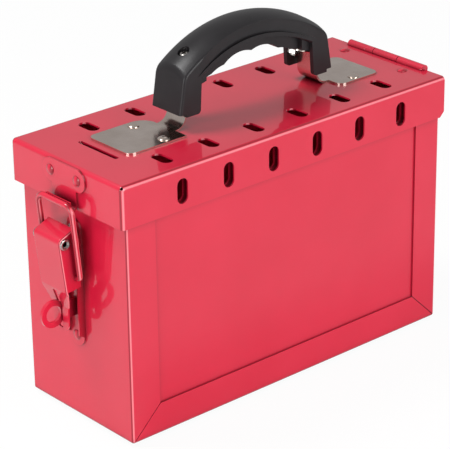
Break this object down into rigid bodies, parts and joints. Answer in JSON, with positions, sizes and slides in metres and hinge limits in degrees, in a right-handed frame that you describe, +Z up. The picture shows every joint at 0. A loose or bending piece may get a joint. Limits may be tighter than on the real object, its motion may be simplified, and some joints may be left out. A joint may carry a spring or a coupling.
{
  "type": "group_lockout_box",
  "caption": "Small red steel group lockout box with a hinged lid, padlock slots, an over-centre wire latch with a padlock staple and a black carrying handle.",
  "frame": {"origin": "On the floor plane, under the middle of the whole outline.", "axes": "+X from the latch end to the hinge end, +Y from the front panel to the back panel, +Z up."},
  "size_m": [0.2514, 0.0922, 0.2011],
  "materials": {
    "red_enamel": "gloss",
    "black_abs": "satin",
    "stainless": "satin",
    "bright_zinc": "gloss"
  },
  "bodies": {
    "box": {"body_wrap": "red_enamel", "front_panel": "red_enamel", "back_panel": "red_enamel", "foot_buttons": "red_enamel", "hinge_body_leaf": "red_enamel", "hinge_pin": "red_enamel", "hinge_body_rivets": "red_enamel", "latch_base": "red_enamel", "latch_base_rivets": "red_enamel", "padlock_staple": "red_enamel", "lever_pivot_pin": "bright_zinc"},
    "lid": {"lid_shell": "red_enamel", "hinge_lid_leaf": "red_enamel", "hinge_lid_rivets": "red_enamel", "strike_plate": "red_enamel", "strike_rivets": "red_enamel", "handle_grip": "black_abs", "handle_bracket_left": "stainless", "handle_bracket_right": "stainless", "handle_screws": "bright_zinc", "handle_nuts": "bright_zinc", "bracket_rivets_left": "stainless", "bracket_rivets_right": "stainless"},
    "lever": {"latch_lever": "red_enamel"},
    "bail": {"bail_loop": "red_enamel"}
  },
  "joints": [
    {"name": "lid_hinge", "type": "hinge", "parent": "box", "child": "lid", "pos_m": [0.1233, 0, 0.1505], "axis": [0, 1, 0], "range_deg": [0, 110]},
    {"name": "lever_pivot", "type": "hinge", "parent": "box", "child": "lever", "pos_m": [-0.1165, 0, 0.1108], "axis": [0, 1, 0], "range_deg": [0, 90]},
    {"name": "bail_pivot", "type": "hinge", "parent": "lever", "child": "bail", "pos_m": [-0.1098, 0, 0.0901], "axis": [0, 1, 0], "range_deg": [-90, 0]}
  ],
  "couplings": [
    {"joint": "bail_pivot", "follows": "lever_pivot", "ratio": -1}
  ]
}
